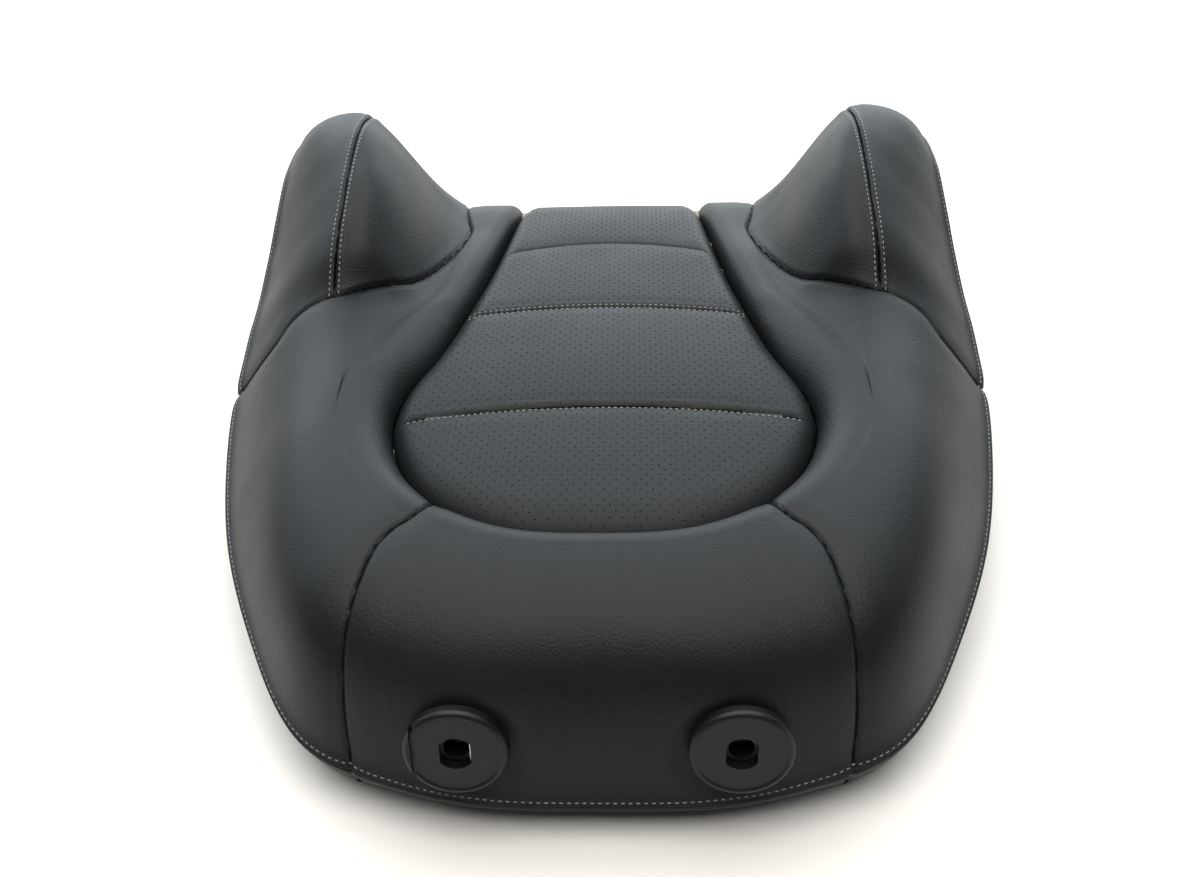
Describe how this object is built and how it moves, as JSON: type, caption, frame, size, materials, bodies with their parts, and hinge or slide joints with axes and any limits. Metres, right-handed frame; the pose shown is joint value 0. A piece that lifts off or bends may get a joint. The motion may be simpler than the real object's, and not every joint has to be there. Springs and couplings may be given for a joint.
{
  "type": "car seat backrest",
  "caption": "Leather-trimmed car front seat backrest on its steel frame, with headrest guides, lumbar wings and recliners.",
  "frame": {"origin": "under the middle of the backrest's bounding box, on the plane the back panel rests on", "axes": "X across the backrest, +Y from the headrest end to the recliner end, +Z from the back panel towards the occupant"},
  "size_m": [0.546, 0.6789, 0.1814],
  "materials": {
    "perforated_leather": "fine grain leather with small perforations",
    "cover_leather": "fine grain leather, satin",
    "band_leather": "smooth coated leather",
    "foam": "moulded foam",
    "felt": "felt mat",
    "black_plastic": "fine textured black plastic",
    "panel_plastic": "grained black plastic",
    "spring_steel": "bright drawn wire",
    "zinc_steel": "zinc plated",
    "frame_paint": "dipped black",
    "motor_black": "satin black",
    "airbag_cloth": "woven wrap"
  },
  "bodies": {
    "backrest": {"airbag_nuts": "zinc_steel", "back_panel": "panel_plastic", "back_panel_clips": "panel_plastic", "end_band": "band_leather", "foam_pad": "foam", "headrest_carrier_left": "frame_paint", "headrest_carrier_right": "frame_paint", "headrest_guide_locking": "black_plastic", "headrest_guide_plain": "black_plastic", "heater_mat": "felt", "hog_rings": "spring_steel", "insert_panel_bottom": "perforated_leather", "insert_panel_lower": "perforated_leather", "insert_panel_top": "perforated_leather", "insert_panel_upper": "perforated_leather", "listing_wires": "spring_steel", "lower_cross_member": "frame_paint", "mat_hooks": "spring_steel", "recliner_fixed_disc_left": "zinc_steel", "recliner_fixed_disc_right": "zinc_steel", "recliner_gearmotor": "motor_black", "recliner_ring_left": "zinc_steel", "recliner_ring_right": "zinc_steel", "shoulder_cover_left": "cover_leather", "shoulder_cover_right": "cover_leather", "side_airbag_module": "airbag_cloth", "side_band_left": "band_leather", "side_band_right": "band_leather", "side_member_left": "frame_paint", "side_member_right": "frame_paint", "suspension_mat": "spring_steel", "top_cover": "cover_leather", "upper_cross_tube": "frame_paint", "wing_inner_cover_left": "cover_leather", "wing_inner_cover_right": "cover_leather", "wing_outer_cover_left": "cover_leather", "wing_outer_cover_right": "cover_leather"},
    "button": {"release_button": "black_plastic", "lock_wire": "spring_steel"},
    "bracket_left": {"recliner_moving_disc_left": "zinc_steel", "recliner_bracket_left": "zinc_steel"},
    "bracket_right": {"recliner_moving_disc_right": "zinc_steel", "recliner_bracket_right": "zinc_steel"},
    "shaft": {"recliner_shaft": "spring_steel"}
  },
  "joints": [
    {"name": "button_slide", "type": "slide", "parent": "backrest", "child": "button", "axis": [1, 0, 0], "range_m": [0, 0.0021], "stiffness_N_per_m": 600, "springref_m": -0.001},
    {"name": "recline", "type": "hinge", "parent": "backrest", "child": "bracket_left", "pos_m": [0, 0.24772, 0.048], "axis": [1, 0, 0], "range_deg": [-20, 45]},
    {"name": "recline_right", "type": "hinge", "parent": "backrest", "child": "bracket_right", "pos_m": [0, 0.24772, 0.048], "axis": [1, 0, 0], "range_deg": [-20, 45]},
    {"name": "shaft_turn", "type": "hinge", "parent": "backrest", "child": "shaft", "pos_m": [0, 0.24772, 0.048], "axis": [1, 0, 0], "range_deg": [-660, 1485]}
  ],
  "couplings": [
    {"joint": "recline_right", "follows": "recline", "ratio": 1},
    {"joint": "shaft_turn", "follows": "recline", "ratio": 33}
  ]
}
